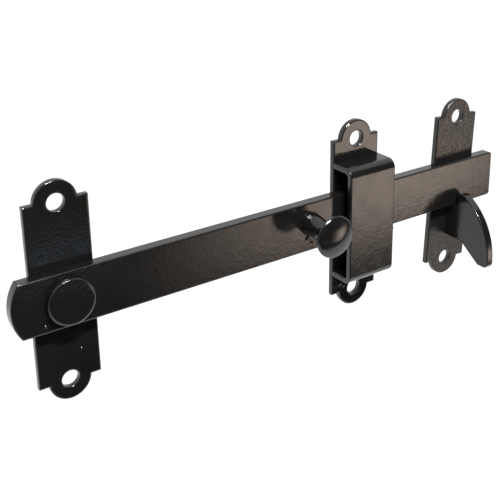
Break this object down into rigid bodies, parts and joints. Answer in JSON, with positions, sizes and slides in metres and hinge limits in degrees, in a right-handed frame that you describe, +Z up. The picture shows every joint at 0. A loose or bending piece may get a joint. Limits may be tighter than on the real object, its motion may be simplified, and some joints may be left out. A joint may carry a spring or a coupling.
{
  "type": "suffolk latch",
  "caption": "Flat bar latch that pivots on a riveted plate, passes through a staple and drops behind a hooked catch, with a turned knob to lift it.",
  "frame": {"origin": "the pivot's axis at the back face of the pivot plate, midway between that plate's screw holes", "axes": "+X along the resting bar towards the catch, -Y out of the wall towards the user, +Z up"},
  "size_m": [0.2419, 0.0308, 0.0937],
  "materials": {
    "black_paint": "glossy black paint on steel"
  },
  "bodies": {
    "plates": {"pivot_plate": "black_paint", "pivot_rivet": "black_paint", "keep_plate": "black_paint", "keep_staple": "black_paint", "catch_plate": "black_paint", "catch_hook": "black_paint"},
    "bar": {"latch_bar": "black_paint", "knob": "black_paint"}
  },
  "joints": [
    {"name": "bar_lift", "type": "hinge", "parent": "plates", "child": "bar", "pos_m": [0, -0.0054, 0], "axis": [0, -1, 0], "range_deg": [0, 3.8]}
  ]
}
